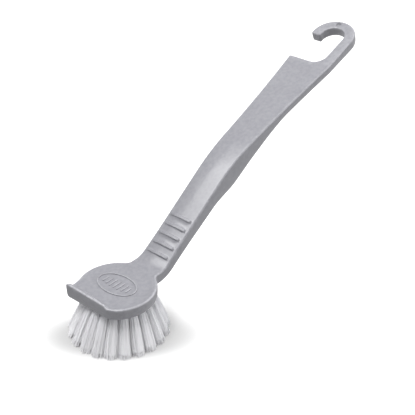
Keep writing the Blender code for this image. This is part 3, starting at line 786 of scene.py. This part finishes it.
class BRUSH_OT_moulded_body(bpy.types.Operator):
    """Model head, lip, grip, belly and hook as one moulding, bored for the tufts"""
    bl_idname = "pot_brush.moulded_body"
    bl_label = "Moulded body"

    def execute(self, context):
        scene = context.scene
        shape = Moulding(scene)
        blank = make_blank(shape)
        cut_blank(blank, shape)
        # Edges painted lighter, partly as worn plastic and partly as a painted highlight; the open
        # top face is left plain
        wear_and_highlight_layer = blank.verts.layers.float.new("edge_wear")
        for vert in blank.verts:
            vert[wear_and_highlight_layer] = self.rubbing_and_highlight(shape, vert.co.x, -vert.co.z)
            vert.co = shape.place(vert.co.x, vert.co.y, -vert.co.z)
        for face in [face for face in blank.faces if face.material_index == TOP_PATCH]:
            for vert in face.verts:
                if all(near.material_index == TOP_PATCH for near in vert.link_faces):
                    vert[wear_and_highlight_layer] = 0.0
        bmesh.ops.recalc_face_normals(blank, faces=blank.faces)
        body = finish_piece("moulded_body", blank, plastic_material(scene.brush_finishes))
        self.bore_holes(scene, body)
        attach(body, BODY)
        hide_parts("body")
        return {"FINISHED"}

    def rubbing_and_highlight(self, shape, s, depth):
        """How much lighter an edge is painted, partly as worn plastic and partly as a painted
        highlight: most on the lip's crest, where it is a painted highlight line, and less along the
        handle.
        """
        edge = shape.edge
        on_lip = s < edge * LIP_HIGHLIGHT_REACH_SHARE - shape.head.lip_reach
        if on_lip and depth < edge * LIP_HIGHLIGHT_DEPTH_SHARE:
            return LIP_HIGHLIGHT
        away = abs(depth - edge * WEAR_HIGHLIGHT_DEPTH_SHARE) / (edge * WEAR_HIGHLIGHT_REACH_SHARE)
        return max(0.0, 1.0 - away) * (HANDLE_WEAR_HIGHLIGHT if s > shape.grip.crown_start else 1.0)

    def bore_holes(self, scene, body):
        """Cut the blind tuft holes, and keep the result as a plain mesh."""
        tufts = scene.brush_tufts
        drill = bmesh.new()
        for _, mouth, tip in tuft_places(scene):
            down = (tip - mouth).normalized()
            length_of_cut = tufts.hole_depth + DRILL_OVERRUN
            middle = mouth + down * (DRILL_OVERRUN - length_of_cut / 2.0)
            add_rod(drill, middle, down, tufts.hole, length_of_cut, DRILL_SIDES)
        cutter = finish_piece("tuft_hole_cutter", drill, body.data.materials[0])
        cutter.hide_render = True
        step = body.modifiers.new("tuft_holes", "BOOLEAN")
        step.operation = "DIFFERENCE"
        step.solver = "MANIFOLD"
        step.object = cutter
        view = bpy.context.evaluated_depsgraph_get()
        bored = bpy.data.meshes.new_from_object(body.evaluated_get(view))
        if len(bored.polygons) <= len(body.data.polygons):
            raise RuntimeError("the tuft holes were not cut")
        body.modifiers.clear()
        body.data = bored
        bored.name = "moulded_body"
        bored.shade_smooth()
        bored.set_sharp_from_angle(angle=BODY_SHARP)
        bpy.data.objects.remove(cutter, do_unlink=True)


class BRUSH_OT_thumb_pad(bpy.types.Operator):
    """Model the plain oval ring and ribs where the thumb presses"""
    bl_idname = "pot_brush.thumb_pad"
    bl_label = "Thumb pad"

    def execute(self, context):
        scene = context.scene
        head, pad = scene.brush_head, scene.brush_pad
        low = head.top - head.dish - pad.sink
        high = head.top - head.dish + pad.rise
        rib_high = head.top - head.dish + pad.rib_rise
        shape = bmesh.new()
        disc = bmesh.ops.create_circle(shape, cap_ends=True, segments=PAD_STEPS,
                                       radius=1.0)["verts"]
        bmesh.ops.scale(shape, verts=disc, vec=(pad.half_width, pad.half_length, 1.0))
        bmesh.ops.translate(shape, verts=disc, vec=(pad.along, pad.aside, 0.0))
        self.raise_face(shape, disc[0].link_faces[0], low, high, pad.ring)
        for index in range(pad.rib_count):
            fall = pad.rib_span * (2.0 * index / (pad.rib_count - 1) - 1.0)
            middle = pad.aside + fall * (pad.half_length - pad.ring)
            reach = pad.rib_length * pad.half_width * math.sqrt(1.0 - fall * fall)
            disc = bmesh.ops.create_circle(shape, cap_ends=True, segments=PAD_RIB_STEPS,
                                           radius=pad.rib / 2.0)["verts"]
            for vert in disc:
                vert.co.x += math.copysign(reach - pad.rib / 2.0, vert.co.x) + pad.along
                vert.co.y += middle
            self.raise_face(shape, disc[0].link_faces[0], low, rib_high)
        # Tops of ring and ribs painted lighter, partly as worn plastic and partly as a painted
        # highlight
        wear_and_highlight_layer = shape.verts.layers.float.new("edge_wear")
        rubbed_and_lit_from = rib_high - pad.sink / 3.0
        for vert in shape.verts:
            vert[wear_and_highlight_layer] = pad.rub_and_highlight if vert.co.z > rubbed_and_lit_from else 0.0
        piece = finish_piece("thumb_pad", shape, bpy.data.materials["moulded_grey_plastic"])
        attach(piece, BODY)
        return {"FINISHED"}

    def raise_face(self, shape, flat, low, high, ring=None):
        """Draw a flat face up to its height, round its edge, and hollow it to a ring if asked."""
        bmesh.ops.translate(shape, verts=flat.verts, vec=(0.0, 0.0, low))
        flat.normal_update()
        pulled = bmesh.ops.extrude_face_region(shape, geom=[flat], use_keep_orig=True)
        top = next(item for item in pulled["geom"] if isinstance(item, bmesh.types.BMFace))
        bmesh.ops.translate(shape, verts=top.verts, vec=(0.0, 0.0, high - low))
        bmesh.ops.recalc_face_normals(shape, faces=shape.faces)
        rims = list(top.edges)
        if ring is not None:
            bmesh.ops.inset_region(shape, faces=[top], thickness=ring, use_even_offset=True,
                                   use_boundary=True)
            inner = list(top.edges)
            pulled = bmesh.ops.extrude_face_region(shape, geom=[top])
            sunk = [item for item in pulled["geom"] if isinstance(item, bmesh.types.BMVert)]
            bmesh.ops.translate(shape, verts=sunk, vec=(0.0, 0.0, (low - high) * PAD_HOLLOW_SHARE))
            bmesh.ops.delete(shape, geom=[top], context="FACES_ONLY")
            rims += inner
        bmesh.ops.bevel(shape, geom=rims, offset=PAD_ROUNDING, affect="EDGES",
                        segments=PAD_ROUNDING_STEPS, profile=0.5, material=-1)
        bmesh.ops.recalc_face_normals(shape, faces=shape.faces)


class Tuft:
    """One tuft: a folded root in its hole, a packed core, and bristles that fan out to the trim."""

    def __init__(self, sizes, mouth, tip):
        self.sizes, self.mouth, self.tip = sizes, mouth, tip
        self.down = (tip - mouth).normalized()
        across = Vector((self.down.x, self.down.y, 0.0))
        self.across = across.normalized() if across.length > UPRIGHT else Vector((1.0, 0.0, 0.0))
        self.aside = UP.cross(self.across)
        self.tilted = self.aside.cross(self.down)
        if self.tilted.dot(self.across) < 0.0:
            self.tilted = -self.tilted
        self.mesh_edit = bmesh.new()
        self.along = self.mesh_edit.verts.layers.float.new("along")
        self.tone = self.mesh_edit.verts.layers.float.new("tone")

    def lay(self, root, end, lift, t):
        """Where a bristle has got to at the share t of its length."""
        start = self.mouth - self.down * START_DEPTH + self.tilted * root.x + self.aside * root.y
        finish = self.tip + self.across * end.x + self.aside * end.y + UP * lift
        return start.lerp(finish, t) + (finish - self.tip) * (t ** self.sizes.flare - t)

    def sweep(self, sides):
        """A closed tube, as numbered rings that are still unit circles, to be laid later."""
        drawn = bmesh.ops.create_circle(self.mesh_edit, cap_ends=True, segments=sides, radius=1.0)
        levels = [drawn["verts"]]
        loop = list({edge for vert in levels[0] for edge in vert.link_edges})
        for _ in range(SWEEP_STEPS):
            pulled = bmesh.ops.extrude_edge_only(self.mesh_edit, edges=loop)["geom"]
            levels.append([item for item in pulled if isinstance(item, bmesh.types.BMVert)])
            loop = [item for item in pulled if isinstance(item, bmesh.types.BMEdge)
                    and all(vert in levels[-1] for vert in item.verts)]
        bmesh.ops.holes_fill(self.mesh_edit, edges=loop, sides=sides)
        return enumerate(levels)

    def add_root(self):
        """The folded root, which fills the hole and stands a little out of it."""
        depth = self.sizes.hole_depth - ROOT_CLEARANCE
        middle = self.mouth - self.down * (depth / 2.0 - self.sizes.stand)
        add_rod(self.mesh_edit, middle, self.down, self.sizes.root, depth, ROOT_SIDES)

    def add_core(self):
        """The packed middle of the tuft, which ends a little short of the trim."""
        root, end = self.sizes.root, self.sizes.spread
        for level, verts in self.sweep(CORE_SIDES):
            t = CORE_END_SHARE * level / SWEEP_STEPS
            for vert in verts:
                spot = Vector((vert.co.x, vert.co.y))
                vert.co = self.lay(spot * root * self.sizes.core, spot * end * self.sizes.core,
                                   0.0, t)
                vert[self.along] = t
                vert[self.tone] = CORE_TONE

    def add_bristles(self, chance):
        """The single bristles, packed evenly over the tuft and each a little astray."""
        sizes = self.sizes
        widest = sizes.spread - TIP_CLEARANCE
        for index in range(sizes.count):
            ring = ((index + 0.5) / sizes.count) ** PACKING_POWER
            angle = index * GOLDEN_ANGLE + chance.uniform(-TURN_STRAY, TURN_STRAY)
            towards = Vector((math.cos(angle), math.sin(angle)))
            root = towards * ring * (sizes.root * ROOT_FILL_SHARE)
            end = towards * min(1.0, ring * chance.uniform(*REACH_SHARES)) * widest
            end += Vector((chance.gauss(0.0, 1.0), chance.gauss(0.0, 1.0))) * TIP_STRAY
            if end.length > widest:
                end *= widest / end.length
            lift = chance.random() ** 2 * sizes.trim + sizes.filament
            sway = Vector((chance.uniform(-1.0, 1.0), chance.uniform(-1.0, 1.0))) * sizes.wave
            tone = chance.random()
            for level, verts in self.sweep(BRISTLE_SIDES):
                t = level / SWEEP_STEPS
                bow = (self.tilted * sway.x + self.aside * sway.y) * (t * (1.0 - t) * 4.0)
                middle = self.lay(root, end, lift, t) + bow
                for vert in verts:
                    around = self.tilted * vert.co.x + self.aside * vert.co.y
                    vert.co = middle + around * sizes.filament
                    vert[self.along] = t
                    vert[self.tone] = tone


class BRUSH_OT_bristle_tufts(bpy.types.Operator):
    """Model every tuft: a folded root in its hole and fine bristles that fan out to the trim"""
    bl_idname = "pot_brush.bristle_tufts"
    bl_label = "Bristle tufts"

    def execute(self, context):
        scene = context.scene
        material = nylon_material(scene.brush_finishes)
        for number, (node, mouth, tip) in enumerate(tuft_places(scene)):
            tuft = Tuft(scene.brush_tufts, mouth, tip)
            tuft.add_root()
            tuft.add_core()
            tuft.add_bristles(random.Random(FIRST_SEED + number))
            bmesh.ops.recalc_face_normals(tuft.mesh_edit, faces=tuft.mesh_edit.faces)
            piece = finish_piece(node + "_bristles", tuft.mesh_edit, material, TUFT_SHARP)
            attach(piece, BODY)
            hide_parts(node)
        return {"FINISHED"}


class BRUSH_OT_studio(bpy.types.Operator):
    """Set up the pale floor, the soft light and the camera"""
    bl_idname = "pot_brush.studio"
    bl_label = "Studio"

    def execute(self, context):
        scene = context.scene
        stage, head = scene.brush_stage, scene.brush_head
        ground = bmesh.new()
        bmesh.ops.create_grid(ground, x_segments=1, y_segments=1, size=FLOOR_REACH)
        floor = finish_piece("floor", ground, floor_material(scene.brush_finishes, stage))
        self.add_world(scene, stage)
        for name, place, size, setting in LAMPS:
            self.add_lamp(name, place, size, getattr(stage, setting))
        self.add_camera(scene, stage, head)
        scene.view_settings.view_transform = "Standard"
        return {"FINISHED"}

    def add_world(self, scene, stage):
        """Even pale light from all round, which the camera sees as white."""
        world = bpy.data.worlds.new("studio_sky")
        scene.world = world
        world.use_nodes = True
        tree = world.node_tree
        sky = tree.nodes["Background"]
        sky.inputs["Color"].default_value = (1.0, 1.0, 1.0, 1.0)
        rays = tree.nodes.new("ShaderNodeLightPath")
        seen = tree.nodes.new("ShaderNodeMath")
        seen.operation = "MAXIMUM"
        tree.links.new(rays.outputs["Is Camera Ray"], seen.inputs[0])
        seen.inputs[1].default_value = stage.sky
        tree.links.new(seen.outputs["Value"], sky.inputs["Strength"])

    def add_lamp(self, name, place, size, power):
        """A square soft light that points at the grip."""
        lamp = bpy.data.lights.new(name, "AREA")
        lamp.shape = "SQUARE"
        lamp.size = size
        lamp.energy = power
        item = bpy.data.objects.new(name, lamp)
        item.location = place
        towards = LAMP_AIM - item.location
        item.rotation_euler = towards.to_track_quat("-Z", "Y").to_euler()
        bpy.context.scene.collection.objects.link(item)

    def add_camera(self, scene, stage, head):
        """The camera, placed so that the head's middle falls where the picture has it."""
        turn, tilt = stage.turn, stage.tilt
        right = Vector((math.cos(turn), math.sin(turn), 0.0))
        back = Vector((math.sin(turn) * math.cos(tilt), -math.cos(turn) * math.cos(tilt),
                       math.sin(tilt)))
        up = back.cross(right)
        reach = stage.distance / stage.focal
        spot = Vector((0.0, 0.0, head.top)) - right * (stage.across - 0.5) * reach
        spot = spot - up * (0.5 - stage.down) * reach + back * stage.distance
        eye = bpy.data.cameras.new("camera")
        eye.sensor_width = SENSOR_WIDTH
        eye.lens = stage.focal * SENSOR_WIDTH
        eye.clip_start = CLIP_START
        item = bpy.data.objects.new("camera", eye)
        turned = Matrix((right, up, back)).transposed().to_4x4()
        item.matrix_world = Matrix.Translation(spot) @ turned
        scene.collection.objects.link(item)
        scene.camera = item


class BRUSH_PT_panel(bpy.types.Panel):
    """The brush's operators and sizes in the sidebar"""
    bl_idname = "BRUSH_PT_panel"
    bl_label = "Pot brush"
    bl_space_type = "VIEW_3D"
    bl_region_type = "UI"
    bl_category = "Pot brush"

    def draw(self, context):
        layout = self.layout
        for operator in OPERATORS:
            layout.operator(operator.bl_idname)
        for key, group in GROUPS.items():
            box = layout.box()
            box.label(text=group.__doc__)
            for name in group.__annotations__:
                box.prop(getattr(context.scene, key), name)


GROUPS = {
    "brush_head": HeadSizes,
    "brush_handle": HandleSizes,
    "brush_grip": GripSizes,
    "brush_hook": HookSizes,
    "brush_pad": PadSizes,
    "brush_tufts": TuftSizes,
    "brush_finishes": Finishes,
    "brush_stage": StageSettings,
}
OPERATORS = (BRUSH_OT_moulded_body, BRUSH_OT_thumb_pad, BRUSH_OT_bristle_tufts, BRUSH_OT_studio)


def register():
    """Add the settings, operators and panel."""
    for key, group in GROUPS.items():
        bpy.utils.register_class(group)
        setattr(bpy.types.Scene, key, PointerProperty(type=group))
    for operator in OPERATORS:
        bpy.utils.register_class(operator)
    bpy.utils.register_class(BRUSH_PT_panel)


def unregister():
    """Take them away again, last first."""
    bpy.utils.unregister_class(BRUSH_PT_panel)
    for operator in reversed(OPERATORS):
        bpy.utils.unregister_class(operator)
    for key, group in reversed(list(GROUPS.items())):
        delattr(bpy.types.Scene, key)
        bpy.utils.unregister_class(group)


def main():
    """Build every piece and the studio."""
    register()
    bpy.ops.pot_brush.moulded_body()
    bpy.ops.pot_brush.thumb_pad()
    bpy.ops.pot_brush.bristle_tufts()
    bpy.ops.pot_brush.studio()
    bpy.context.view_layer.update()


if __name__ == "__main__":
    main()
